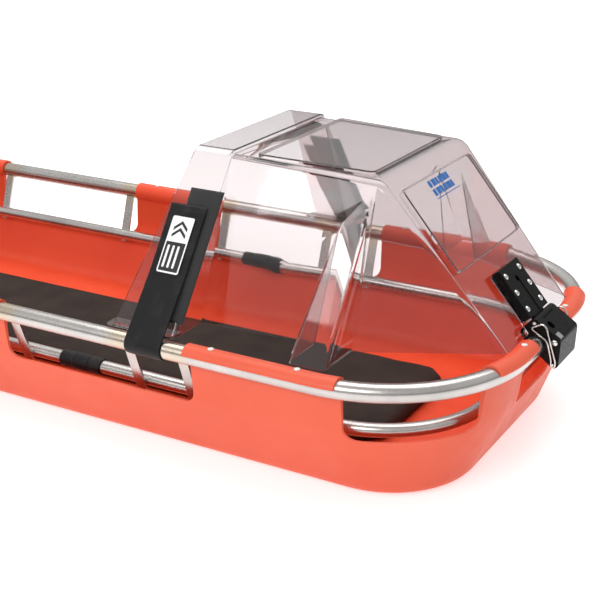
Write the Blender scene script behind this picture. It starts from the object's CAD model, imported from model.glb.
# %% [markdown]
# # A basket rescue litter with a clear patient shield
# The litter is a moulded plastic basket that hangs on two rings of steel tube. At the head end a
# clear plastic shield is hinged on a clamp and held down by two hook-and-loop straps. The design
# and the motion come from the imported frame; this script gives every part its real surface.
#
# The first cell loads that frame and keeps its box, so that the looks can be measured against it.

# %% Load the frame
import math
import random
from itertools import product

import bmesh
import bpy
import numpy as np
from mathutils import Matrix, Vector


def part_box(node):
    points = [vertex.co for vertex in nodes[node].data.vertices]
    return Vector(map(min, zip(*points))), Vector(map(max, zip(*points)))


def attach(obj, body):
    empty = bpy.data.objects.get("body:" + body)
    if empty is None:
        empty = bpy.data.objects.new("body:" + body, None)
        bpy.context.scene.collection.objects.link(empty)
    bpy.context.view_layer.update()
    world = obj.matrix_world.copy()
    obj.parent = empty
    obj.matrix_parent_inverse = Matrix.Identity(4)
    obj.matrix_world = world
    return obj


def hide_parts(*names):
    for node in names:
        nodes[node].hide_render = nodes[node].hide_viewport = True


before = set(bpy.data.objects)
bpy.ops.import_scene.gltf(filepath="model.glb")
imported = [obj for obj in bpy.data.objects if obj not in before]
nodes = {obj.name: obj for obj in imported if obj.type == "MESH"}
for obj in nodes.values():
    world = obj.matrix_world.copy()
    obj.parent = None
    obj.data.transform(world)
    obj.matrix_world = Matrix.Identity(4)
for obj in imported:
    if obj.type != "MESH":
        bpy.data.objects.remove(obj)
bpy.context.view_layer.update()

# %% [markdown]
# ## Sizes that the pieces share
# Everything hangs on the rails, so the rails' own boxes give the places: the centre line of the
# top rail, the centre line of the lower rail, and both tube radii.

# %% Read the rails
top_low, top_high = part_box("top_rail_head")
low_low, low_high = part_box("lower_rail_head")
rail_r = (top_high.z - top_low.z) / 2
rail_x, rail_y, rail_z = top_high.x - rail_r, top_high.y - rail_r, top_high.z - rail_r
low_r = (low_high.z - low_low.z) / 2
low_y, low_z = low_high.y - low_r, low_high.z - low_r
bend_r = 0.2
SIDES = ((-1, "left"), (1, "right"))
print(f"top rail: {2 * rail_r * 1000:.1f} mm tube at y {rail_y:.4f}, z {rail_z:.4f}")
print(f"lower rail: {2 * low_r * 1000:.1f} mm tube at y {low_y:.4f}, z {low_z:.4f}")

# %% [markdown]
# ## Helpers for meshes
# Most pieces here are swept or lofted in code. `piece()` makes an object from points and faces,
# `settle()` turns an object's modifiers into plain mesh, `loft()` joins rings of points, and
# `reworked()` opens a mesh for one change. Rings are always joined in the same way, so
# `ring_faces()` is shared by every sweep.

# %% Mesh helpers
def in_scene(name, data):
    obj = bpy.data.objects.new(name, data)
    bpy.context.scene.collection.objects.link(obj)
    return obj


def piece(name, points, faces):
    mesh = bpy.data.meshes.new(name)
    mesh.from_pydata([tuple(p) for p in points], [], faces)
    return in_scene(name, mesh)


def reworked(obj, change):
    """Opens an object's mesh, lets `change` edit it, and puts it back."""
    work = bmesh.new()
    work.from_mesh(obj.data)
    change(work)
    work.to_mesh(obj.data)
    work.free()
    return obj


def settle(obj):
    graph = bpy.context.evaluated_depsgraph_get()
    mesh = bpy.data.meshes.new_from_object(
        obj.evaluated_get(graph), preserve_all_data_layers=True, depsgraph=graph)
    obj.modifiers.clear()
    obj.data = mesh
    return obj


def turned_out(work):
    bmesh.ops.recalc_face_normals(work, faces=work.faces)


def outward(obj, merge=1e-5):
    def change(work):
        bmesh.ops.remove_doubles(work, verts=work.verts, dist=merge)
        turned_out(work)
    return reworked(obj, change)


def ring_faces(rings, count, closed=False, base=0):
    """Faces between rings of `count` points; closed joins the last ring to the first."""
    faces = []
    for r in range(rings if closed else rings - 1):
        here, following = base + r * count, base + (r + 1) % rings * count
        for i in range(count):
            j = (i + 1) % count
            faces.append((here + i, here + j, following + j, following + i))
    return faces


def loft(name, rings):
    """Joins closed rings of points, each ring with the same number of them, and closes it."""
    count = len(rings[0])
    last = (len(rings) - 1) * count
    faces = ring_faces(len(rings), count)
    faces += [tuple(range(count)), tuple(last + i for i in range(count))]
    return outward(piece(name, [p for ring in rings for p in ring], faces))


def lay_uvs(obj, uvs):
    """Gives each point its place on the flat webbing, in metres, for the weave."""
    layer = obj.data.uv_layers.new(name="cloth")
    for loop in obj.data.loops:
        layer.data[loop.index].uv = uvs[loop.vertex_index]


def taking_in(objs):
    """A change that adds other pieces' meshes, which are used up."""
    def change(work):
        for obj in objs:
            work.from_mesh(obj.data)
            bpy.data.objects.remove(obj)
    return change


def cut_with(obj, other, operation="DIFFERENCE"):
    """Cuts or joins another piece, which is used up."""
    add_modifier(obj, "BOOLEAN", object=other, operation=operation, solver="EXACT")
    settle(obj)
    bpy.data.objects.remove(other)


def add_modifier(obj, kind, **values):
    modifier = obj.modifiers.new(kind.title(), kind)
    for key, value in values.items():
        setattr(modifier, key, value)
    return modifier


def rounded_edges(obj, width, segments=2, angle=35):
    add_modifier(obj, "BEVEL", width=width, segments=segments, limit_method="ANGLE",
        angle_limit=math.radians(angle), use_clamp_overlap=True)
    add_modifier(obj, "WEIGHTED_NORMAL", keep_sharp=True)
    obj.data.shade_smooth()
    return settle(obj)


def hand_over(obj, body, finish, replaced=()):
    """Gives a finished piece its finish, its CAD nodes and its body."""
    if finish is not None:
        obj.data.materials.clear()
        obj.data.materials.append(finish)
    if replaced:
        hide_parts(*replaced)
    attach(obj, body)
    print(f"{obj.name}: {len(obj.data.polygons)} faces on {body}")
    return obj


# %% [markdown]
# ## Helpers for finishes
# Each finish is a small node tree round one Principled shader. `add_node()` makes a node and
# fills its sockets, with a value or with a link, so that each finish reads as a short recipe.
# Patterns are placed by Object coordinates, in metres, or by a strap's own UV map.

# %% Finish helpers
def paint(red, green, blue):
    """A colour given as it looks on a screen, 0 to 255, in the linear values shaders use."""
    def linear(value):
        value /= 255
        return value / 12.92 if value <= 0.04045 else ((value + 0.055) / 1.055) ** 2.4
    return (linear(red), linear(green), linear(blue), 1)


def new_finish(name, colour, roughness, metallic=0.0):
    finish = bpy.data.materials.new(name)
    finish.use_nodes = True
    shader = finish.node_tree.nodes["Principled BSDF"]
    shader.inputs["Base Color"].default_value = colour
    shader.inputs["Roughness"].default_value = roughness
    shader.inputs["Metallic"].default_value = metallic
    return finish, shader


def fill(tree, node, sockets):
    for key, value in sockets.items():
        if isinstance(value, bpy.types.NodeSocket):
            tree.links.new(value, node.inputs[key])
        else:
            node.inputs[key].default_value = value


def add_node(finish, kind, sockets=None, **settings):
    node = finish.node_tree.nodes.new("ShaderNode" + kind)
    for key, value in settings.items():
        setattr(node, key, value)
    fill(finish.node_tree, node, sockets or {})
    return node


def places(finish, scale=(1, 1, 1), of="Object"):
    """Coordinates for a pattern, stretched along each axis."""
    source = add_node(finish, "TexCoord").outputs[of]
    return add_node(finish, "Mapping", {"Vector": source, "Scale": scale}).outputs["Vector"]


def noise(finish, where, scale, detail=3.0):
    return add_node(finish, "TexNoise",
        {"Vector": where, "Scale": scale, "Detail": detail}).outputs["Fac"]


def between(finish, fac, low, high, start=0.3, end=0.7):
    """Maps a pattern onto a range of values."""
    return add_node(finish, "MapRange", {"Value": fac, "From Min": start, "From Max": end,
        "To Min": low, "To Max": high}).outputs["Result"]


def blended(finish, fac, first, second):
    node = add_node(finish, "Mix", {"Factor": fac}, data_type="RGBA")
    for index, value in ((6, first), (7, second)):
        fill(finish.node_tree, node, {index: value})
    return node.outputs[2]


def grain(finish, where, scale, low, high, detail=3.0):
    return between(finish, noise(finish, where, scale, detail), low, high)


def mottled(finish, pattern, first, second):
    return blended(finish, between(finish, pattern, 0, 1), first, second)


def raised(finish, shader, height, distance, strength=1.0):
    bump = add_node(finish, "Bump",
        {"Height": height, "Distance": distance, "Strength": strength})
    finish.node_tree.links.new(bump.outputs["Normal"], shader.inputs["Normal"])


# %% [markdown]
# ## The moulded shell's finish
# The basket is rotomoulded polyethylene, pigmented right through in rescue orange. Such a wall is
# satin, with a faint pebbled skin from the mould and light scuffs, so the colour barely varies
# and the interest is in roughness and a very fine bump. The outside and the lips have bleached
# paler than the inside. Where a face looks away from the middle of the basket, the dot product of
# its normal and its position is large, so that product tells the two apart.

# %% Shell plastic
shell_plastic, shader = new_finish("moulded_orange", paint(230, 96, 66), 0.42)
where = places(shell_plastic)
clouds = grain(shell_plastic, where, 9, 0, 1, 4)
spot = add_node(shell_plastic, "TexCoord").outputs
outside = add_node(shell_plastic, "VectorMath", {0: spot["Normal"], 1: spot["Object"]},
    operation="DOT_PRODUCT").outputs["Value"]
inner_tone = blended(shell_plastic, clouds, paint(236, 84, 50), paint(230, 77, 45))
outer_tone = blended(shell_plastic, clouds, paint(228, 98, 70), paint(223, 92, 64))
fill(shell_plastic.node_tree, shader, {
    "Base Color": blended(shell_plastic, between(shell_plastic, outside, 0, 1, 0.02, 0.12),
        inner_tone, outer_tone),
    "Roughness": grain(shell_plastic, where, 40, 0.36, 0.5, 5),
    "Specular IOR Level": 0.32})
raised(shell_plastic, shader, noise(shell_plastic, where, 700, 2), 0.0002, 0.35)

# %% [markdown]
# ## Steel finishes
# The rails are stainless tube with a satin finish: polished along the tube, so the scratches run
# with it and the highlight spreads across it. Near the welded bars the heat leaves a straw tint.
# The tint is drawn from the distance along X to the nearest row of bars, and only near the height
# of the top rail.

# %% Satin rail steel
rail_steel, shader = new_finish("satin_steel", paint(214, 208, 196), 0.28, 1.0)
where = places(rail_steel)
across = add_node(rail_steel, "SeparateXYZ", {"Vector": where})
bar_rows = [0.146, 0.3603, 0.5643, 0.6523]
side = add_node(rail_steel, "Math", {0: across.outputs["X"]}, operation="ABSOLUTE").outputs[0]
nearest = None
for row in bar_rows:
    away = add_node(rail_steel, "Math", {0: side, 1: row}, operation="SUBTRACT").outputs[0]
    away = add_node(rail_steel, "Math", {0: away}, operation="ABSOLUTE").outputs[0]
    if nearest is not None:
        away = add_node(rail_steel, "Math", {0: nearest, 1: away}, operation="MINIMUM").outputs[0]
    nearest = away
by_height = between(rail_steel, across.outputs["Z"], 0.0, 1.0, rail_z - 0.03, rail_z - 0.012)
by_length = between(rail_steel, nearest, 0.4, 0.0, 0.008, 0.03)
heat = add_node(rail_steel, "Math", {0: by_height, 1: by_length},
    operation="MULTIPLY").outputs[0]
steel_tone = mottled(rail_steel, noise(rail_steel, where, 14, 5),
    paint(212, 207, 203), paint(188, 184, 181))
brushed = noise(rail_steel, places(rail_steel, (1, 14, 14)), 260, 4)
fill(rail_steel.node_tree, shader, {
    "Base Color": blended(rail_steel, heat, steel_tone, paint(214, 186, 138)),
    "Roughness": between(rail_steel, brushed, 0.2, 0.34)})
raised(rail_steel, shader, brushed, 0.00006, 0.25)

# %% Bright hardware steel
bright_steel, shader = new_finish("bright_steel", paint(226, 224, 220), 0.16, 1.0)
where = places(bright_steel)
fill(bright_steel.node_tree, shader, {
    "Base Color": blended(bright_steel, noise(bright_steel, where, 120),
        paint(232, 230, 226), paint(205, 203, 200)),
    "Roughness": grain(bright_steel, where, 500, 0.1, 0.24)})

# %% Backing alloy
backing_alloy, shader = new_finish("plain_alloy", paint(176, 178, 180), 0.4, 1.0)
where = places(backing_alloy, (1, 12, 1))
fill(backing_alloy.node_tree, shader, {
    "Roughness": grain(backing_alloy, where, 300, 0.32, 0.48)})

# %% Painted rivets
rivet_white, shader = new_finish("rivet_enamel", paint(236, 234, 230), 0.3)
where = places(rivet_white)
fill(rivet_white.node_tree, shader, {
    "Base Color": mottled(rivet_white, noise(rivet_white, where, 300),
        paint(240, 238, 235), paint(214, 208, 202)),
    "Roughness": grain(rivet_white, where, 800, 0.22, 0.4)})

# %% [markdown]
# ## Black finishes
# There are four blacks, and they are told apart by how they take the light. The clamp is hard
# anodised aluminium, tight and faintly speckled. The strap is woven nylon: its ribs are drawn from
# the strap's own UV map in metres, so they follow every bend. The loop patch is a dull pile. The
# pad is closed-cell foam, brownish charcoal, with a fine skin and broad soft mottling.

# %% Anodised clamp
clamp_black, shader = new_finish("anodised_black", paint(12, 11, 12), 0.36)
shader.inputs["Specular IOR Level"].default_value = 0.12
where = places(clamp_black)
fill(clamp_black.node_tree, shader, {
    "Base Color": mottled(clamp_black, noise(clamp_black, where, 60, 5),
        paint(9, 8, 9), paint(18, 16, 16)),
    "Roughness": grain(clamp_black, where, 240, 0.28, 0.46, 4)})
raised(clamp_black, shader, noise(clamp_black, where, 2600, 1), 0.00006, 0.3)

# %% Woven webbing
webbing, shader = new_finish("black_webbing", paint(26, 25, 27), 0.62)
cloth = places(webbing, of="UV")
ribs = add_node(webbing, "TexWave", {"Vector": cloth, "Scale": 210, "Distortion": 0.6,
    "Detail": 1.0}, wave_type="BANDS", bands_direction="Y").outputs["Fac"]
warp = add_node(webbing, "TexWave", {"Vector": cloth, "Scale": 150, "Distortion": 0.4,
    "Detail": 1.0}, wave_type="BANDS", bands_direction="X").outputs["Fac"]
woven = add_node(webbing, "Math", {0: ribs, 1: warp}, operation="MULTIPLY").outputs[0]
dust = noise(webbing, places(webbing), 38, 6)
fill(webbing.node_tree, shader, {
    "Base Color": blended(webbing, between(webbing, dust, 0, 0.5, 0.5, 0.8),
        paint(17, 16, 17), paint(56, 52, 52)),
    "Roughness": between(webbing, woven, 0.5, 0.74, 0, 1)})
shader.inputs["Specular IOR Level"].default_value = 0.25
shader.inputs["Sheen Weight"].default_value = 0.06
shader.inputs["Sheen Roughness"].default_value = 0.4
raised(webbing, shader, woven, 0.00025, 0.6)

# %% Loop pile
loop_pile, shader = new_finish("loop_pile", paint(20, 19, 20), 0.9)
where = places(loop_pile)
tufts = noise(loop_pile, where, 1500, 2)
fill(loop_pile.node_tree, shader, {
    "Base Color": mottled(loop_pile, tufts, paint(14, 13, 14), paint(40, 38, 39))})
shader.inputs["Sheen Weight"].default_value = 0.3
raised(loop_pile, shader, tufts, 0.0006, 0.8)

# %% Pad foam
pad_foam, shader = new_finish("charcoal_foam", paint(50, 41, 37), 0.88)
shader.inputs["Specular IOR Level"].default_value = 0.2
where = places(pad_foam)
mottle = noise(pad_foam, where, 22, 6)
cells = add_node(pad_foam, "TexVoronoi", {"Vector": where, "Scale": 520}).outputs["Distance"]
fill(pad_foam.node_tree, shader, {
    "Base Color": mottled(pad_foam, mottle, paint(43, 36, 32), paint(60, 50, 45)),
    "Roughness": between(pad_foam, mottle, 0.8, 0.95)})
raised(pad_foam, shader, cells, 0.0005, 0.45)

# %% [markdown]
# ## The clear plastic
# The shield is thermoformed polycarbonate with a slight smoke tint. It is glass to the eye, but
# plain glass would throw a black shadow on what lies under it, so rays that only ask for light go
# through a Transparent shader of nearly the same tint. Faint haze comes from the roughness.

# %% Smoked polycarbonate
clear_plastic, shader = new_finish("smoked_clear", (0.71, 0.65, 0.655, 1), 0.02)
where = places(clear_plastic)
shader.inputs["Transmission Weight"].default_value = 1.0
shader.inputs["IOR"].default_value = 1.45
fill(clear_plastic.node_tree, shader, {
    "Roughness": grain(clear_plastic, where, 30, 0.01, 0.05, 5)})
open_to_lamps = add_node(clear_plastic, "BsdfTransparent", {"Color": (0.86, 0.83, 0.835, 1)})
shadow_only = add_node(clear_plastic, "LightPath").outputs["Is Shadow Ray"]
split = add_node(clear_plastic, "MixShader", {0: shadow_only, 1: shader.outputs[0],
    2: open_to_lamps.outputs[0]})
surface = clear_plastic.node_tree.nodes["Material Output"].inputs["Surface"]
clear_plastic.node_tree.links.new(split.outputs[0], surface)

# %% Label stock and inks
label_white, shader = new_finish("label_white", paint(238, 237, 238), 0.5)
where = places(label_white)
fill(label_white.node_tree, shader, {
    "Roughness": grain(label_white, where, 400, 0.42, 0.58)})
raised(label_white, shader, noise(label_white, where, 1800, 1), 0.00008, 0.4)

label_ink, shader = new_finish("label_ink", paint(22, 22, 24), 0.5)
where = places(label_ink)
fill(label_ink.node_tree, shader, {
    "Roughness": grain(label_ink, where, 400, 0.4, 0.6)})

sticker_blue, shader = new_finish("sticker_blue", paint(24, 92, 160), 0.4)
where = places(sticker_blue)
fill(sticker_blue.node_tree, shader, {
    "Base Color": mottled(sticker_blue, noise(sticker_blue, where, 200),
        paint(22, 90, 160), paint(34, 106, 176)),
    "Roughness": grain(sticker_blue, where, 600, 0.35, 0.5)})
print("finishes:", len(bpy.data.materials))

# %% [markdown]
# ## The basket
# The real basket is one moulding: a floor, walls that lean out, a soft waist, and a lip that wraps
# over the top rail. All of that is one cross-section carried round a rounded rectangle, so it is
# lofted: each point of the section has a distance inside the rail, a height and its own corner
# radius. The floor's corners are tighter than the rail's, as on the real moulding. A subdivision
# cage could give this too, but the section keeps the wall's thickness true everywhere.

# %% Loft the wall
WALL_T = 0.0035
CORNER_STEPS = 28
LIP_IN, LIP_OUT = rail_r + 0.0003, rail_r + 0.0038


def litter_ring(inset, z, corner):
    """Points round a rounded rectangle that lies some way inside the top rail's centre line."""
    cx, cy = rail_x - inset - corner, rail_y - inset - corner
    ring = []
    for quarter, (sx, sy) in enumerate(((1, 1), (-1, 1), (-1, -1), (1, -1))):
        for step in range(CORNER_STEPS + 1):
            turn = math.radians(90 * (quarter + step / CORNER_STEPS))
            ring.append((sx * cx + corner * math.cos(turn), sy * cy + corner * math.sin(turn), z))
    return ring


def section_corner(inset, z):
    """The corner radius: concentric with the rail above the waist, tighter towards the floor."""
    low_share = min(max((0.098 - z) / 0.09, 0), 1)
    return bend_r - inset - 0.026 * low_share


def curve(a, b, c, steps):
    """Points on a smooth bend from a to c that heads for b."""
    ts = [i / steps for i in range(steps + 1)]
    return [tuple((1 - t) ** 2 * p + 2 * t * (1 - t) * q + t * t * r for p, q, r in zip(a, b, c))
        for t in ts]


def lip_arc(radius, start, end, steps):
    """Part of a circle round the rail, as (inset, height)."""
    turns = [math.radians(start + (end - start) * i / steps) for i in range(steps + 1)]
    return [(-radius * math.cos(t), rail_z + radius * math.sin(t)) for t in turns]


LIP_EDGE = 22
lip_mid = (LIP_IN + LIP_OUT) / 2
edge_at = math.radians(LIP_EDGE)
tip = [(-lip_mid * math.cos(edge_at) + WALL_T / 2 * math.cos(edge_at + math.radians(a)),
    rail_z + lip_mid * math.sin(edge_at) - WALL_T / 2 * math.sin(edge_at + math.radians(a)))
    for a in (30, 60, 90, 120, 150)]
outer = curve((0.068, 0), (0.0495, 0), (0.0445, 0.017), 7)
outer += curve((0.0155, 0.088), (0.0115, 0.098), (0.0103, 0.108), 5)
outer += lip_arc(LIP_IN, 248, LIP_EDGE, 26)
inner = lip_arc(LIP_OUT, LIP_EDGE, 226, 26)
inner += curve((0.0139, 0.108), (0.0151, 0.098), (0.0191, 0.088), 5)
inner += curve((0.0478, 0.018), (0.0525, WALL_T), (0.07, WALL_T), 6)
section = outer + tip + inner
basket = loft("basket_shell", [litter_ring(i, z, section_corner(i, z)) for i, z in section])
print("wall section:", len(section), "points,", len(basket.data.polygons), "faces")

# %% [markdown]
# ## Hand holds
# The moulding is cut open below the rail wherever a hand or a rope has to reach the tubes. Each
# opening has rounded lower corners. The cutters are lofts of rectangles that narrow towards the
# bottom, all in one mesh, so that one Boolean cuts them all, and then a small bevel rounds every
# cut edge, which is what catches the light on the real one.

# %% Cut the openings
HOLD_Z, HEAD_HOLD_Z = 0.092, 0.086
WALL_X1, WALL_X0, POST_X1, POST_X0 = 0.8913, 0.6683, 0.3443, 0.162
END_POST_Y, PAST_RAIL = 0.162, 0.4
HOLD_Y, HOLD_R = (0.205, 0.345), 0.018
HEAD_Y, HEAD_R = 0.06, 0.012
END_X = (0.97, 1.2)
cut_points, cut_faces = [], []


def opening(x0, x1, y0, y1, z0, curl, curled):
    """A block to cut away, its lower edges curled in by a radius at the sides named in curled."""
    steps = 8
    base = len(cut_points)
    turns = [math.radians(90 * i / steps) for i in range(steps + 1)]
    heights = [(curl * (1 - math.sin(t)), z0 + curl * (1 - math.cos(t))) for t in turns]
    heights.append((0, rail_z + 0.1))
    for pull, z in heights:
        a, b = (x0 + pull * ("x0" in curled), x1 - pull * ("x1" in curled))
        c, d = (y0 + pull * ("y0" in curled), y1 - pull * ("y1" in curled))
        cut_points.extend([(a, c, z), (b, c, z), (b, d, z), (a, d, z)])
    cut_faces.extend(ring_faces(len(heights), 4, base=base))
    top = base + 4 * steps + 4
    cut_faces.extend([(base + 3, base + 2, base + 1, base), (top, top + 1, top + 2, top + 3)])


opening(POST_X1, WALL_X0, *HOLD_Y, HOLD_Z, HOLD_R, ("x0", "x1"))
opening(WALL_X1, END_X[1], END_POST_Y, PAST_RAIL, HOLD_Z, HOLD_R, ("x0", "y0"))
quarter = (list(cut_points), list(cut_faces))
for y_side, x_side in ((-1, 1), (1, -1), (-1, -1)):
    offset = len(cut_points)
    cut_points.extend((x * x_side, y * y_side, z) for x, y, z in quarter[0])
    cut_faces.extend(tuple(i + offset for i in face) for face in quarter[1])
for y0, y1 in (HOLD_Y, (-HOLD_Y[1], -HOLD_Y[0])):
    opening(-POST_X0, POST_X0, y0, y1, HOLD_Z, HOLD_R, ("x0", "x1"))
for x0, x1 in (END_X, (-END_X[1], -END_X[0])):
    opening(x0, x1, -HEAD_Y, HEAD_Y, HEAD_HOLD_Z, HEAD_R, ("y0", "y1"))
cut_with(basket, outward(piece("opening_cutter", cut_points, cut_faces)))
rounded_edges(basket, 0.0009, 2, 40)
hand_over(basket, "litter", shell_plastic, ["shell"])

# %% [markdown]
# ## Rails and bars
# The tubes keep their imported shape, since a bent tube is exactly what the design already holds.
# The flat bars between the rails get rounded edges, because the real ones are tumbled before they
# are welded. `softened()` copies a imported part, merges its loose triangles back into whole faces
# and bevels what is sharp.

# %% Rails keep their shape
def softened(name, node, width, body, finish, reshaped=()):
    """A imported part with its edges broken, after any pieces in reshaped are cut or joined."""
    def whole_faces(work):
        bmesh.ops.remove_doubles(work, verts=work.verts, dist=2e-6)
        bmesh.ops.dissolve_limit(work, angle_limit=math.radians(1), verts=work.verts,
            edges=work.edges)
    obj = in_scene(name, nodes[node].data.copy())
    obj.data.materials.clear()
    reworked(obj, whole_faces)
    if obj.data.attributes.get("custom_normal"):
        obj.data.attributes.remove(obj.data.attributes["custom_normal"])
    for operation, other in reshaped:
        cut_with(obj, other, operation)
    rounded_edges(obj, width)
    return hand_over(obj, body, finish, [node])


def dress(node, finish):
    nodes[node].data.materials.clear()
    nodes[node].data.materials.append(finish)


for rail in ("top_rail_head", "top_rail_foot", "lower_rail_head", "lower_rail_foot",
        "rail_splices"):
    dress(rail, rail_steel)
for side, hand in SIDES:
    softened(f"bars_{hand}", f"stanchions_{hand}", 0.0012, "litter", rail_steel)
print("rails and bars dressed")

# %% [markdown]
# ## The clear shield
# The shield is one formed sheet, so it is built as one surface. Its shape is flat faces with
# rounded meetings: a core body, an arch at the open end, two buttresses that stand on the rail
# and two raised panels. Each is a block whose edges are bevelled to their own radius; a Boolean
# joins the blocks, the floor and the open end are taken off, and Solidify gives the sheet its
# thickness. A remeshed surface would round the corners too, but flat panels of clear plastic
# show every ripple, and this way they stay truly flat.

# %% Blocks of the shield
SHEET_T = 0.0024
FOOT_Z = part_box("shield_shell")[0].z * 1000
# Millimetres from here on, as d from the head rail, y across and z up. The open end is a slanted
# plane, given by the d of its top edge and how much further out its foot is
END_D, END_LEAN, ARCH_Z = 472, 40, 403
ARCH_Y, PILLAR_Y = 130.4, 286.5
WIDEST_BEVEL = 10


def at(d, y, z):
    """A point given by its distance from the head rail, in millimetres."""
    return (rail_x - d / 1000, y / 1000, z / 1000)


def on_open_end(point):
    """True on the slanted plane of the shield's open end."""
    d, z = (rail_x - point.x) * 1000, point.z * 1000
    return abs(d - END_D - (ARCH_Z - z) * END_LEAN / (ARCH_Z - FOOT_Z)) < 0.5


def left_open(edge):
    """True for an edge of the floor or of the open end, which the finished sheet doesn't have."""
    floor = all(v.co.z * 1000 < FOOT_Z + 0.3 for v in edge.verts)
    return floor or all(on_open_end(v.co) for v in edge.verts)


def block(name, corners, edge_size=None):
    """A convex block round the given corners, each edge rounded by edge_size(middle), in mm."""
    work = bmesh.new()
    for corner in corners:
        work.verts.new(corner)
    hull = bmesh.ops.convex_hull(work, input=work.verts)
    loose = [v for v in hull["geom_interior"] + hull["geom_unused"]
        if isinstance(v, bmesh.types.BMVert)]
    bmesh.ops.delete(work, geom=list(set(loose)), context="VERTS")
    bmesh.ops.dissolve_limit(work, angle_limit=math.radians(1.5), verts=work.verts,
        edges=work.edges)
    if edge_size:
        weights = work.edges.layers.float.new("bevel_weight_edge")
        for edge in work.edges:
            if not left_open(edge) and edge.calc_face_angle(0) > math.radians(7):
                middle = (edge.verts[0].co + edge.verts[1].co) / 2
                size = edge_size((rail_x - middle.x) * 1000, abs(middle.y) * 1000, middle.z * 1000)
                edge[weights] = size / WIDEST_BEVEL
    mesh = bpy.data.meshes.new(name)
    work.to_mesh(mesh)
    work.free()
    obj = outward(in_scene(name, mesh))
    if edge_size:
        add_modifier(obj, "BEVEL", width=WIDEST_BEVEL / 1000, segments=6, limit_method="WEIGHT",
            use_clamp_overlap=True)
        settle(obj)
        outward(obj, 1e-6)
    return obj


def pair(d, y, z):
    return [at(d, y, z), at(d, -y, z)]


core = block("shield_core", pair(430, 129.5, 397.7) + pair(184.7, 133.2, 391.7)
    + pair(430, 221, FOOT_Z) + pair(182, 207, FOOT_Z) + pair(10, 118, FOOT_Z),
    lambda d, y, z: 9 if z > 380 else 6)
arch = block("shield_arch", pair(END_D, ARCH_Y, ARCH_Z) + pair(414, ARCH_Y, ARCH_Z)
    + pair(END_D + END_LEAN, PILLAR_Y, FOOT_Z) + pair(412, PILLAR_Y, FOOT_Z),
    lambda d, y, z: (3 if y < 20 else 9) if z > 380 else 5)
buttresses = [block("shield_buttress", [at(d, side * y, z) for d, y, z in (
    (188, 279.5, FOOT_Z), (243, 279.5, FOOT_Z), (188, 100, FOOT_Z), (243, 100, FOOT_Z),
    (197, 145.9, 348), (234, 145.9, 348), (197, 100, 348), (234, 100, 348))],
    lambda d, y, z: 5) for side in (1, -1)]


PANEL_CORNER, PANEL_DOWN, PANEL_RISE = 9, 8, 5


def panel(name, corners, place):
    """A raised panel: a rounded four-sided plate, standing a little way out of the face."""
    points = []
    for i, corner in enumerate(corners):
        here, before, after = (Vector(c) for c in
            (corner, corners[i - 1], corners[(i + 1) % len(corners)]))
        a, c = (here + (end - here).normalized() * PANEL_CORNER for end in (before, after))
        points += [(1 - t) ** 2 * a + 2 * t * (1 - t) * here + t * t * c
            for t in (0, 0.2, 0.4, 0.6, 0.8, 1)]
    made = [place(p.x, p.y, lift) for lift in (-PANEL_DOWN, PANEL_RISE) for p in points]
    return block(name, made, lambda d, y, z: 2.6)


TOP_D, TOP_Z, TOP_FALL = 440, 398, 0.02468
FRONT_D, FRONT_Z, SLOPE = 10, 185, math.radians(49.8)


def on_top(d, y, lift):
    """A point on the top face, which falls a little towards the head."""
    return at(d, y, TOP_Z - (TOP_D - d) * TOP_FALL + lift)



def on_front(s, y, lift):
    """A point on the front face: s down the slope from its lower edge, lift out of it."""
    x = rail_x * 1000 - FRONT_D + s * math.cos(SLOPE) + lift * math.sin(SLOPE)
    z = FRONT_Z - s * math.sin(SLOPE) + lift * math.cos(SLOPE)
    return (x / 1000, y / 1000, z / 1000)


top_panel = panel("shield_top_panel", [(381, 121), (207, 111), (207, -111), (381, -121)], on_top)
front_panel = panel("shield_front_panel",
    [(-249, 110), (-118, 110), (-118, -110), (-249, -110)], on_front)
shield = core
shield.name = "clear_shield"
for other in (arch, *buttresses, top_panel, front_panel):
    cut_with(shield, other, "UNION")
print("joined blocks:", len(shield.data.polygons), "faces")

# %% Open it and give it a thickness
def taken_open(work):
    bmesh.ops.remove_doubles(work, verts=work.verts, dist=2e-5)
    gone = [f for f in work.faces if all(v.co.z * 1000 < FOOT_Z + 0.3 for v in f.verts)
        or all(on_open_end(v.co) for v in f.verts)]
    bmesh.ops.delete(work, geom=gone, context="FACES")


reworked(shield, taken_open)
print("opened:", len(shield.data.polygons), "faces left")
add_modifier(shield, "SOLIDIFY", thickness=SHEET_T, offset=-1, use_even_offset=False)
settle(shield)
cut_with(shield, block("notch",
    [at(d, y, z) for d in (-20, 60) for y in (-38, 38) for z in (170, 195.8)]))


def foot_plate(side):
    """The small turned-out foot at the bottom of the open end's pillar."""
    outline = ((522, 266), (522, 287), (519, 290), (415, 290), (412, 287), (412, 266))
    return loft("foot_plate", [[at(d, side * y, FOOT_Z + lift) for d, y in outline]
        for lift in (0.1, 2.6)])


feet = [foot_plate(1), foot_plate(-1)]
for foot in feet:
    rounded_edges(foot, 0.0006, 2, 40)
reworked(shield, taking_in(feet))
add_modifier(shield, "WEIGHTED_NORMAL", keep_sharp=True)
shield.data.shade_smooth()
shield.data.set_sharp_from_angle(angle=math.radians(38))
settle(shield)
hand_over(shield, "shield", clear_plastic, ["shield_shell"])

# %% [markdown]
# ## Clamp, hinge and latch
# The metalwork is machined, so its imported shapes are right; they only need broken edges. The leaf
# gets a round lifting hole and a shallow groove below it, and the body a blind round hole and a
# small plate on its sloping top. The pins, rod and screws keep their meshes and get the
# bright finish.

# %% Dress the hardware
def peg(name, start, end, radius, steps=32):
    """A round bar between two points at the same y, to cut a hole with."""
    axis = (Vector(end) - Vector(start)).normalized()
    side = Vector((0, 1, 0))
    other = axis.cross(side)
    return loft(name, [[Vector(centre) + (side * math.cos(math.tau * k / steps)
        + other * math.sin(math.tau * k / steps)) * radius for k in range(steps)]
        for centre in (start, end)])


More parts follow.
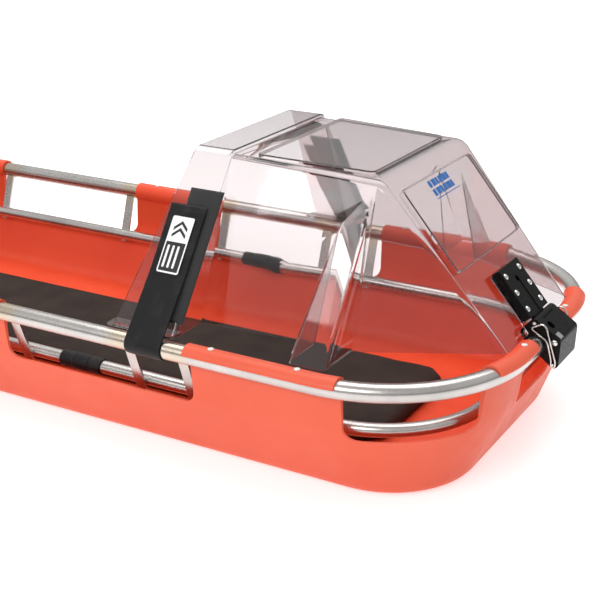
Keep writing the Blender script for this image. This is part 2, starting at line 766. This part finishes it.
HINGE, CORNER, HINGE_R, CORNER_R = (4, 197), (-26, 176), 6.5, 8
fall = math.atan2(HINGE[1] - CORNER[1], HINGE[0] - CORNER[0])


def on_slope(part, y, lift):
    """A point on the body's sloping top: part runs from the hinge, 0, to the outer corner, 1."""
    radius = HINGE_R + (CORNER_R - HINGE_R) * part + lift
    d = HINGE[0] + (CORNER[0] - HINGE[0]) * part - radius * math.sin(fall)
    z = HINGE[1] + (CORNER[1] - HINGE[1]) * part + radius * math.cos(fall)
    return at(d, y, z)


HOLE_PART, HOLE_Y, BODY_HOLE_R, LEAF_HOLE_R = 0.45, -18, 0.0062, 0.0044
body_hole = peg("hole", on_slope(HOLE_PART, HOLE_Y, -5), on_slope(HOLE_PART, HOLE_Y, 4),
    BODY_HOLE_R)
softened("clamp_body", "clamp_saddle", 0.0007, "litter", clamp_black,
    [("DIFFERENCE", body_hole)])
small_plate = block("clamp_plate", [on_slope(part, y, lift) for part in (0.8, 1.06)
    for y in (-31, -21) for lift in (-0.8, 1.1)])
rounded_edges(small_plate, 0.0004, 2, 40)
hand_over(small_plate, "litter", backing_alloy)
leaf_changes = [
    ("UNION", block("filled", [on_front(s, y, lift) for s in (-77, -53) for y in (-3.5, 3.5)
        for lift in (6.2, 12.0)])),
    ("DIFFERENCE", peg("hole", on_front(-67, 0, 7), on_front(-67, 0, 15), LEAF_HOLE_R)),
    ("DIFFERENCE", block("groove", [on_front(s, y, lift) for s in (-66, -10) for y in (-4.5, 4.5)
        for lift in (11, 15)]))]
softened("hinge_leaf", "hinge_block", 0.0008, "shield", clamp_black, leaf_changes)
softened("clamp_claw", "clamp_jaw", 0.0006, "jaw", clamp_black)
softened("inner_plate", "backing_plate", 0.0004, "shield", backing_alloy)
for part in ("jaw_pin", "hinge_pin", "clamp_screws", "hinge_rivets", "latch_rod"):
    dress(part, bright_steel)

# %% [markdown]
# ## Wire bails
# Each bail is one spring wire bent in a long loop: wide at the top, where the fingers go, and
# turned round the rod at the bottom. The corners are rounded first, then a circle is swept along.

# %% Bend the wires
WIRE_R, WIRE_Y = 1.25, 37.4
# Each bend's (d, z), and how far from it the curve starts
bends = [((8, 191), 5), ((-8, 200), 3.5), ((-14, 196), 3.5), ((-28.8, 150), 3), ((-28.8, 142), 2.6),
    ((-23.2, 142), 2.6), ((-23.2, 150), 3), ((-16.5, 176.5), 6)]


def rounded_loop(corners, steps=7):
    """Cuts each corner off with a smooth curve that starts and ends a given length away."""
    path = []
    for k, (corner, reach) in enumerate(corners):
        here = Vector(corner)
        before = (Vector(corners[k - 1][0]) - here).normalized() * reach
        after = (Vector(corners[(k + 1) % len(corners)][0]) - here).normalized() * reach
        for i in range(steps + 1):
            f = i / steps
            path.append(here + before * (1 - f) ** 2 + after * f ** 2)
    return path


for side, hand in SIDES:
    path, steps = rounded_loop(bends), 12
    points = []
    for k, here in enumerate(path):
        along = (path[(k + 1) % len(path)] - path[k - 1]).normalized()
        for i in range(steps):
            t = math.tau * i / steps
            spot = here + Vector((-along.y, along.x)) * WIRE_R * math.cos(t)
            points.append(at(spot.x, side * WIRE_Y + WIRE_R * math.sin(t), spot.y))
    faces = ring_faces(len(path), steps, closed=True)
    wire = outward(piece(f"wire_bail_{hand}", points, faces), 1e-7)
    wire.data.shade_smooth()
    hand_over(wire, "latch", bright_steel, [f"bail_{hand}"])

# %% [markdown]
# ## Straps
# Each strap is a flat band of webbing: it starts on the pillar's loop patch, lies down the face,
# leaves it for the rail, goes round under the tube and ends up inside it. The path is worked
# out in one plane and swept sideways with a thin, round-edged section; the sweep also lays down a
# UV map in metres, for the weave. Cloth simulation would only loosen what is really pulled tight.

# %% Sweep a band along a path
STEP = 0.003


def smooth_path(corners, rounds):
    """Cuts the corners off a path, a given number of times."""
    points = [Vector(c) for c in corners]
    for turn in range(rounds):
        cut = [points[0]]
        for a, b in zip(points, points[1:]):
            cut += [a * 0.75 + b * 0.25, a * 0.25 + b * 0.75]
        points = cut + [points[-1]]
    return points


def resampled(points, spacing):
    """The path in even steps, and its length."""
    points = [Vector(p) for p in points]
    lengths = [0.0]
    for a, b in zip(points, points[1:]):
        lengths.append(lengths[-1] + (b - a).length)
    count = max(2, round(lengths[-1] / spacing))
    out, k = [], 0
    for i in range(count + 1):
        want = lengths[-1] * i / count
        while k < len(points) - 2 and lengths[k + 1] < want:
            k += 1
        t = (want - lengths[k]) / max(lengths[k + 1] - lengths[k], 1e-9)
        out.append(points[k].lerp(points[k + 1], min(max(t, 0), 1)))
    return out, lengths[-1]


def band(name, path, x0, x1, thick, wave=0.0, seed=1):
    """A flat band whose path lies in (y, z) and whose width runs along X."""
    path, length = resampled(path, STEP)
    draw = random.Random(seed)
    phases = [draw.uniform(0, math.tau) for count in range(3)]
    across = [(0, 0.5), (0.03, 0.16), (0.12, 0.0), (0.5, 0.0), (0.88, 0.0), (0.97, 0.16), (1, 0.5),
        (0.97, 0.84), (0.88, 1.0), (0.5, 1.0), (0.12, 1.0), (0.03, 0.84)]
    rings, uvs = [], []
    for i, p in enumerate(path):
        way = (path[min(i + 1, len(path) - 1)] - path[max(i - 1, 0)]).normalized()
        out = Vector((-way.y, way.x))
        end = 0.35 if i in (0, len(path) - 1) else 1
        run = length * i / (len(path) - 1)
        ring = []
        for u, v in across:
            lift = (0.5 + (v - 0.5) * end) * thick
            lift += wave * (math.sin(run * 90 + phases[0]) + math.sin(run * 47 + u * 4 + phases[1]))
            q = p + out * lift
            ring.append((x0 + (x1 - x0) * u, q.x, q.y))
            uvs.append((u * (x1 - x0), run))
        rings.append(ring)
    count = len(across)
    last = (len(rings) - 1) * count
    faces = ring_faces(len(rings), count)
    faces += [tuple(reversed(range(count))), tuple(last + i for i in range(count))]
    obj = piece(name, [p for ring in rings for p in ring], faces)
    lay_uvs(obj, uvs)
    reworked(obj, turned_out).data.shade_smooth()
    return obj


# %% Shape both straps
strap_low, strap_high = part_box("strap_left")
patch_low, patch_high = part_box("loop_patch_left")
# The pillar's outer face starts at its foot and runs tangent to the arch's rounded edge
FACE_FOOT, EDGE_CENTRE, EDGE_R = (0.285, 0.1855), (0.118, 0.379), 0.024
reach = (EDGE_CENTRE[0] - FACE_FOOT[0], EDGE_CENTRE[1] - FACE_FOOT[1])
FACE_RISE = math.atan2(reach[1], reach[0]) - math.asin(EDGE_R / math.hypot(*reach))


def face_out(z, out):
    """A point on the pillar's outer face at a height, or off it, as (y, z)."""
    return (FACE_FOOT[0] + (z - FACE_FOOT[1]) / math.tan(FACE_RISE) + out * math.sin(FACE_RISE),
        z - out * math.cos(FACE_RISE))


def round_rail(radius, start, end, steps):
    turns = [math.radians(start + (end - start) * i / steps) for i in range(steps + 1)]
    return [(rail_y + radius * math.cos(t), rail_z + radius * math.sin(t)) for t in turns]


def to_side(points, side):
    return [(side * y, z) for y, z in points]


WEB_T, WEB_LIFT = 0.002, 0.0022
face = [face_out(z, WEB_LIFT) for z in (0.333, 0.30, 0.262)] + [face_out(0.245, 0.0026)]
turn = round_rail(rail_r + 0.0006, 34, -156, 17)
for side, hand in SIDES:
    path = resampled(smooth_path(face + turn, 2), STEP)[0]
    path = [Vector((side * p.x, p.y)) for p in path]
    main = band(f"strap_web_{hand}", path[::side], strap_low.x, strap_high.x, WEB_T * -side,
        0.0001, 3 if side < 0 else 4)
    hand_over(main, f"strap_{hand}", webbing, [f"strap_{hand}"])
    length = sum((q - p).length for p, q in zip(path, path[1:]))
    print(f"strap {hand}: {length * 1000:.0f} mm of webbing from the flap to its inner end")

# %% [markdown]
# The upper part of each strap is doubled: a flap with the label lies over the web and is sewn
# down at its lower end. Behind both sits the pile patch, stuck to the pillar's face.

# %% Flap and loop patch
for side, hand in SIDES:
    over = [face_out(z, 0.0043) for z in (0.328, 0.31, 0.28, 0.255)]
    over += [face_out(0.2475, 0.0040), face_out(0.2455, 0.0036)]
    flap = band(f"strap_flap_{hand}", to_side(over, side), strap_low.x + 0.0015,
        strap_high.x - 0.0015, 0.0016 * -side, 0.00008, 7)
    hand_over(flap, f"strap_{hand}", webbing)
    under = [face_out(z, 0.0003) for z in (0.3545, 0.33, 0.29, 0.25, 0.2005)]
    patch = band(f"pile_patch_{hand}", to_side(under, side), patch_low.x, patch_high.x,
        0.0016 * -side, 0.00005, 11)
    hand_over(patch, "shield", loop_pile, [f"loop_patch_{hand}"])

# %% [markdown]
# ## Labels
# The strap's label is a white woven tab with a black panel and plain chevrons, and the shield's
# sticker is a few plain blue bars. Both are thin plates laid on their surface, with real edges.

# %% Flat marks
def plate(outline, place, low, high, name):
    """A thin plate from an outline in a surface's own two directions."""
    return loft(name, [[place(a, b, low) for a, b in outline],
        [place(a, b, high) for a, b in outline]])


def round_rect(a0, a1, b0, b1, r, steps=5):
    points = []
    for k, (ca, cb) in enumerate(((a1 - r, b1 - r), (a0 + r, b1 - r), (a0 + r, b0 + r),
            (a1 - r, b0 + r))):
        for i in range(steps + 1):
            t = math.radians(90 * (k + i / steps))
            points.append((ca + r * math.cos(t), cb + r * math.sin(t)))
    return points


def joined(name, objs):
    return outward(reworked(piece(name, [], []), taking_in(objs)), 1e-7)


label_low, label_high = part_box("strap_label_left")
label_x0, label_x1 = label_low.x + 0.001, label_high.x - 0.001
LABEL_FOOT, LABEL_LEN, LABEL_OUT = 0.252, 0.066, 0.0059
TAB_T, INK_TOP, BAR_TOP = 0.0005, 0.0006, 0.00068
for side, hand in SIDES:
    def on_flap(a, b, out, side=side):
        """a runs along X, b up the strap."""
        y, z = face_out(LABEL_FOOT + b, LABEL_OUT + out)
        return (a, side * y, z)
    tab = plate(round_rect(label_x0, label_x1, 0, LABEL_LEN, 0.0025), on_flap, 0, TAB_T,
        f"strap_tab_{hand}")
    rounded_edges(tab, 0.00015, 2, 40)
    hand_over(tab, f"strap_{hand}", label_white, [f"strap_label_{hand}"])
    inks = [plate(round_rect(label_x0 + 0.002, label_x1 - 0.002, 0.002, 0.036, 0.0008), on_flap,
        TAB_T - 0.00005, INK_TOP, "ink")]
    middle, reach_a = (label_x0 + label_x1) / 2, 0.011
    for rise in (0.041, 0.049):
        inks.append(plate([(middle - reach_a, rise), (middle, rise + 0.008),
            (middle + reach_a, rise), (middle + reach_a, rise + 0.004), (middle, rise + 0.012),
            (middle - reach_a, rise + 0.004)], on_flap,
            TAB_T - 0.00005, INK_TOP, "ink"))
    ink = joined(f"strap_ink_{hand}", inks)
    hand_over(ink, f"strap_{hand}", label_ink)
    bars = [plate(round_rect(label_x0 + 0.006 + 0.008 * k, label_x0 + 0.0095 + 0.008 * k, 0.006,
        0.032, 0.0012), on_flap, INK_TOP, BAR_TOP, "bar") for k in range(3)]
    hand_over(joined(f"strap_bars_{hand}", bars), f"strap_{hand}", label_white)


def on_panel_face(a, b, out):
    return on_front(a, b, PANEL_RISE + 0.05 + out)


STICKER_Y, STICKER_LINE, MARK_H, MARK_T = (-45, 26), (-47, 28), 10, 0.15
marks = []
for s in (-242, -229):
    start = STICKER_Y[0]
    for width in (8, 11, 7, 9, 12, 7, 8):
        if start + width <= STICKER_Y[1]:
            marks.append(plate([(s, start), (s, start + width), (s + MARK_H, start + width),
                (s + MARK_H, start)], on_panel_face, 0, MARK_T, "mark"))
        start += width + (1 if width > 8 else 2.5)
marks.append(plate([(s, y) for s, y in zip((-215.5, -215.5, -214.3, -214.3),
    STICKER_LINE + STICKER_LINE[::-1])], on_panel_face, 0, MARK_T, "mark"))
hand_over(joined("shield_sticker", marks), "shield", sticker_blue,
    ["shield_mark"])

# %% [markdown]
# ## Restraint loops
# Black webbing is wound round the lower rail where a body strap starts. Each loop is a few turns
# of a flat band, so it is swept round the tube as a shallow helix whose turns overlap a little.

# %% Wind the loops
LAP, WOUND_T, WOUND_GAP = 1.18, 0.0017, 0.0002


def wound(name, x0, x1, side, turns=3, seed=5):
    """Turns of a flat band round the lower rail, each lapping a little over the next."""
    draw = random.Random(seed)
    steps, width = 40, (x1 - x0) / turns * LAP
    profile = [(0, 0.4), (0.06, 0.05), (0.5, 0.0), (0.94, 0.05), (1, 0.4), (1, 0.6),
        (0.94, 0.95), (0.5, 1.0), (0.06, 0.95), (0, 0.6)]
    points, faces, uvs = [], [], []
    for turn in range(turns):
        faces += ring_faces(steps, len(profile), closed=True, base=len(points))
        start = x0 + (x1 - x0 - width) * turn / (turns - 1)
        tilt = draw.uniform(-0.0016, 0.0016)
        bulge = 0.0003 + 0.0007 * (turn % 2)
        for i in range(steps):
            t = math.tau * i / steps
            for u, v in profile:
                radius = low_r + WOUND_GAP + bulge + v * WOUND_T
                points.append((start + u * width + tilt * math.sin(t),
                    side * low_y + radius * math.cos(t), low_z + radius * math.sin(t)))
                uvs.append((u * width, radius * t))
    obj = piece(name, points, faces)
    lay_uvs(obj, uvs)
    outward(obj, 1e-7)
    obj.data.shade_smooth()
    return obj


for side, hand in SIDES:
    loop_low, loop_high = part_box(f"restraint_loop_{hand}")
    hand_over(wound(f"wound_loop_{hand}", loop_low.x, loop_high.x, side), "litter",
        webbing, [f"restraint_loop_{hand}"])

# %% [markdown]
# ## The pad
# The pad is a closed-cell foam mat with cut corners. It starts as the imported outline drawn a
# little small, is remeshed, and is swollen a few millimetres by a short cloth simulation, which
# gives it the crown and the soft edges of a real mat while its underside stays on the floor.

# %% Swell the pad
pad_low, pad_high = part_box("mattress_pad")
PAD_CUT, PAD_SHRINK, PAD_CAP, VOXEL = 0.026, 0.0025, 0.0035, 0.006
CLOTH_FRAMES, PRESSURE = 12, 4
px, py = pad_high.x - PAD_SHRINK, pad_high.y - PAD_SHRINK
outline = [(px, py - PAD_CUT), (px - PAD_CUT, py), (PAD_CUT - px, py), (-px, py - PAD_CUT),
    (-px, PAD_CUT - py), (PAD_CUT - px, -py), (px - PAD_CUT, -py), (px, PAD_CUT - py)]
pad = loft("foam_pad", [[(x, y, z) for x, y in outline]
    for z in (pad_low.z + 0.0006, pad_high.z - PAD_SHRINK)])
add_modifier(pad, "REMESH", mode="VOXEL", voxel_size=VOXEL)
settle(pad)
rest_shape = np.array([v.co for v in pad.data.vertices])
cloth_mod = pad.modifiers.new("Cloth", "CLOTH")
cloth_mod.settings.quality = 4
cloth_mod.settings.use_pressure = True
cloth_mod.settings.uniform_pressure_force = PRESSURE
cloth_mod.settings.effector_weights.gravity = 0
for frame_number in range(1, CLOTH_FRAMES + 1):
    bpy.context.scene.frame_set(frame_number)
swollen = pad.evaluated_get(bpy.context.evaluated_depsgraph_get()).data
moved = np.array([v.co for v in swollen.vertices]) - rest_shape
pad.modifiers.clear()
bpy.context.scene.frame_set(1)
far = np.linalg.norm(moved, axis=1, keepdims=True)
moved *= np.minimum(1, PAD_CAP / np.maximum(far, 1e-9))
shape = rest_shape + moved
shape[:, 2] = np.maximum(shape[:, 2], pad_low.z)
for vertex, place in zip(pad.data.vertices, shape):
    vertex.co = place
print(f"pad swelled by up to {np.linalg.norm(moved, axis=1).max() * 1000:.1f} mm")
add_modifier(pad, "SMOOTH", factor=0.5, iterations=2)
settle(pad)
pad.data.shade_smooth()
outward(pad)
hand_over(pad, "litter", pad_foam, ["mattress_pad"])

# %% [markdown]
# ## What repeats: rivets, welds and stitches
# Rivet heads, weld beads and stitches are one small round shape, set many times along a line. One
# Geometry Nodes tree does them all: it puts a squashed ball on every point, turned to the point's
# own direction. The sizes are inputs of the tree, and the result is made plain mesh.

# %% The tree that sets small heads on points
def heads_tree():
    tree = bpy.data.node_groups.new("set_heads", "GeometryNodeTree")
    tree.interface.new_socket("Geometry", in_out="INPUT", socket_type="NodeSocketGeometry")
    for name in ("Length", "Width", "Height"):
        tree.interface.new_socket(name, in_out="INPUT", socket_type="NodeSocketFloat")
    tree.interface.new_socket("Rough Size", in_out="INPUT", socket_type="NodeSocketFloat")
    tree.interface.new_socket("Finish", in_out="INPUT", socket_type="NodeSocketMaterial")
    tree.interface.new_socket("Geometry", in_out="OUTPUT", socket_type="NodeSocketGeometry")
    make, link = tree.nodes.new, tree.links.new
    start, end = make("NodeGroupInput"), make("NodeGroupOutput")
    ball = make("GeometryNodeMeshUVSphere")
    ball.inputs["Segments"].default_value = 12
    ball.inputs["Rings"].default_value = 8
    ball.inputs["Radius"].default_value = 0.5
    size = make("ShaderNodeCombineXYZ")
    for axis, name in zip("XYZ", ("Length", "Width", "Height")):
        link(start.outputs[name], size.inputs[axis])
    shape = make("GeometryNodeTransform")
    link(ball.outputs["Mesh"], shape.inputs["Geometry"])
    link(size.outputs[0], shape.inputs["Scale"])
    turns = []
    for attribute in ("facing", "along"):
        read = make("GeometryNodeInputNamedAttribute")
        read.data_type = "FLOAT_VECTOR"
        read.inputs["Name"].default_value = attribute
        turn = make("FunctionNodeAlignRotationToVector")
        turn.axis = "Z" if attribute == "facing" else "X"
        turn.pivot_axis = "AUTO" if attribute == "facing" else "Z"
        link(read.outputs["Attribute"], turn.inputs["Vector"])
        turns.append(turn)
    link(turns[0].outputs[0], turns[1].inputs["Rotation"])
    vary = make("FunctionNodeRandomValue")
    vary.inputs["Seed"].default_value = 4
    less, more = make("ShaderNodeMath"), make("ShaderNodeMath")
    less.operation, more.operation = "SUBTRACT", "ADD"
    less.inputs[0].default_value = more.inputs[0].default_value = 1
    link(start.outputs["Rough Size"], less.inputs[1])
    link(start.outputs["Rough Size"], more.inputs[1])
    link(less.outputs[0], vary.inputs[2])
    link(more.outputs[0], vary.inputs[3])
    place = make("GeometryNodeInstanceOnPoints")
    link(start.outputs["Geometry"], place.inputs["Points"])
    link(shape.outputs[0], place.inputs["Instance"])
    link(turns[1].outputs[0], place.inputs["Rotation"])
    link(vary.outputs[1], place.inputs["Scale"])
    real, smooth = make("GeometryNodeRealizeInstances"), make("GeometryNodeSetShadeSmooth")
    colour = make("GeometryNodeSetMaterial")
    link(place.outputs[0], smooth.inputs["Geometry"])
    link(smooth.outputs[0], real.inputs["Geometry"])
    link(real.outputs[0], colour.inputs["Geometry"])
    link(start.outputs["Finish"], colour.inputs["Material"])
    link(colour.outputs[0], end.inputs["Geometry"])
    return tree


heads = heads_tree()


def set_heads(name, spots, length, width, height, finish, body, rough=0.0, replaced=()):
    """spots: (place, facing, along) of each head."""
    obj = piece(name, [s[0] for s in spots], [])
    for attribute, index in (("facing", 1), ("along", 2)):
        data = obj.data.attributes.new(attribute, "FLOAT_VECTOR", "POINT").data
        for item, spot in zip(data, spots):
            item.vector = spot[index]
    modifier = obj.modifiers.new("heads", "NODES")
    modifier.node_group = heads
    values = {"Length": length, "Width": width, "Height": height, "Rough Size": rough,
        "Finish": finish}
    for item in heads.interface.items_tree:
        if item.in_out == "INPUT" and item.name in values:
            modifier[item.identifier] = values[item.name]
    settle(obj)
    for attribute in ("facing", "along"):
        if obj.data.attributes.get(attribute):
            obj.data.attributes.remove(obj.data.attributes[attribute])
    return hand_over(obj, body, None, replaced)


# %% Lip rivets
spots = []
head_z = rail_z + LIP_OUT + 0.0003
for x_side, y_side in product((-1, 1), (-1, 1)):
    rivet_places = [(rail_x - d, rail_y) for d in (0.22, 0.349, rail_x - 0.3043, rail_x - 0.202)]
    for x, y in rivet_places + [(rail_x, 0.08)]:
        spots.append(((x_side * x, y_side * y, head_z), (0, 0, 1), (1, 0, 0)))
set_heads("lip_rivet_heads", spots, 0.009, 0.009, 0.0032, rivet_white, "litter",
    0.0, ["lip_rivets"])

# %% Weld beads where the bars meet the rails
spots = []
for x, x_side, y_side, end in product(bar_rows, (-1, 1), (-1, 1), (-0.0082, 0.0082)):
    base = Vector((x_side * x + end, y_side * rail_y, rail_z))
    for k in range(5):
        turn = math.radians(38 + 9 * k)
        away = Vector((0, -y_side * math.cos(turn), -math.sin(turn)))
        spots.append((base + away * (rail_r + 0.0001), away, (0, away.z, -away.y)))
set_heads("weld_beads", spots, 0.0042, 0.0032, 0.0022, rail_steel, "litter", 0.18)

# %% Stitches on the straps
STITCH_OUT, ROW, SEAM = 0.0062, 16, 24
for side, hand in SIDES:
    facing = (0, side * math.sin(FACE_RISE), -math.cos(FACE_RISE))
    a, b = face_out(0.25, 0), face_out(0.30, 0)
    climb = Vector((0, side * (b[0] - a[0]), b[1] - a[1])).normalized()
    spots = []
    for z, lift in ((0.3255, STITCH_OUT), (0.3225, STITCH_OUT), (0.2495, 0.0060)):
        y, height = face_out(z, lift)
        for k in range(ROW + 1):
            x = strap_low.x + 0.0045 + k * (strap_high.x - strap_low.x - 0.009) / ROW
            spots.append(((x, side * y, height), facing, (1, 0, 0)))
    for x in (strap_low.x + 0.0035, strap_high.x - 0.0035):
        for k in range(SEAM):
            y, height = face_out(0.251 + 0.003 * k, STITCH_OUT)
            spots.append(((x, side * y, height), facing, climb))
    set_heads(f"strap_stitches_{hand}", spots, 0.0024, 0.0008, 0.0006, webbing,
        f"strap_{hand}", 0.08)

# %% [markdown]
# ## Floor, light and camera
# The litter stands on a plain white floor under soft studio light: a broad box overhead, a long
# one on the camera's side for the bright line along the tubes, and a sky that is darker near the
# horizon, so that steel and clear plastic have something to show. The floor gives off a little
# light of its own, which keeps it white far away, and the backdrop is plain white to look at.

# %% Floor
floor_finish, shader = new_finish("studio_floor", (0.75, 0.75, 0.75, 1), 0.9)
shader.inputs["Specular IOR Level"].default_value = 0.1
shader.inputs["Emission Color"].default_value = (1, 1, 1, 1)
shader.inputs["Emission Strength"].default_value = 0.55
FLOOR_REACH, FLOOR_Z = 14, -0.0005
floor = piece("studio_floor", [(x * FLOOR_REACH, y * FLOOR_REACH, FLOOR_Z)
    for x, y in ((-1, -1), (1, -1), (1, 1), (-1, 1))], [(0, 1, 2, 3)])
floor.data.materials.append(floor_finish)

# %% Sky
world = bpy.data.worlds.new("studio_sky")
bpy.context.scene.world = world
world.use_nodes = True
sky = world.node_tree
direction = sky.nodes.new("ShaderNodeTexCoord").outputs["Generated"]
height = sky.nodes.new("ShaderNodeSeparateXYZ")
sky.links.new(direction, height.inputs[0])
ramp = sky.nodes.new("ShaderNodeValToRGB")
sky.links.new(height.outputs["Z"], ramp.inputs[0])
stops = ((0.0, 0.25), (0.12, 0.3), (0.3, 0.9), (0.6, 1.0), (1.0, 0.75))
for at_height, value in stops[1:-1]:
    ramp.color_ramp.elements.new(at_height)
for element, (at_height, value) in zip(ramp.color_ramp.elements, stops):
    element.position = at_height
    element.color = (value, value, value, 1)
sky.links.new(ramp.outputs[0], sky.nodes["Background"].inputs["Color"])
sky.nodes["Background"].inputs["Strength"].default_value = 0.7
backdrop = sky.nodes.new("ShaderNodeBackground")
backdrop.inputs["Color"].default_value = (1, 1, 1, 1)
seen = sky.nodes.new("ShaderNodeMixShader")
sky.links.new(sky.nodes.new("ShaderNodeLightPath").outputs["Is Camera Ray"], seen.inputs[0])
sky.links.new(sky.nodes["Background"].outputs[0], seen.inputs[1])
sky.links.new(backdrop.outputs[0], seen.inputs[2])
sky.links.new(seen.outputs[0], sky.nodes["World Output"].inputs["Surface"])

# %% Lamps
def softbox(name, place, target, size_x, size_y, power):
    lamp = bpy.data.lights.new(name, "AREA")
    lamp.shape, lamp.size, lamp.size_y, lamp.energy = "RECTANGLE", size_x, size_y, power
    obj = in_scene(name, lamp)
    obj.location = place
    obj.rotation_euler = (Vector(target) - Vector(place)).to_track_quat("-Z", "Y").to_euler()


softbox("overhead_box", (0.3, 0.6, 2.6), (0.4, 0, 0.1), 3.2, 2.0, 48)
softbox("near_box", (0.4, -2.6, 1.9), (0.5, 0, 0.2), 2.6, 0.9, 34)

# %% Camera
lens = bpy.data.cameras.new("camera")
lens.lens, lens.sensor_width = 77.38, 36
camera = in_scene("camera", lens)
camera.location = (1.5694, -1.5660, 0.8495)
camera.rotation_euler = (math.pi / 2 - 0.37097, 0.0031, 0.51953)
bpy.context.scene.camera = camera
bpy.context.scene.view_settings.view_transform = "Standard"
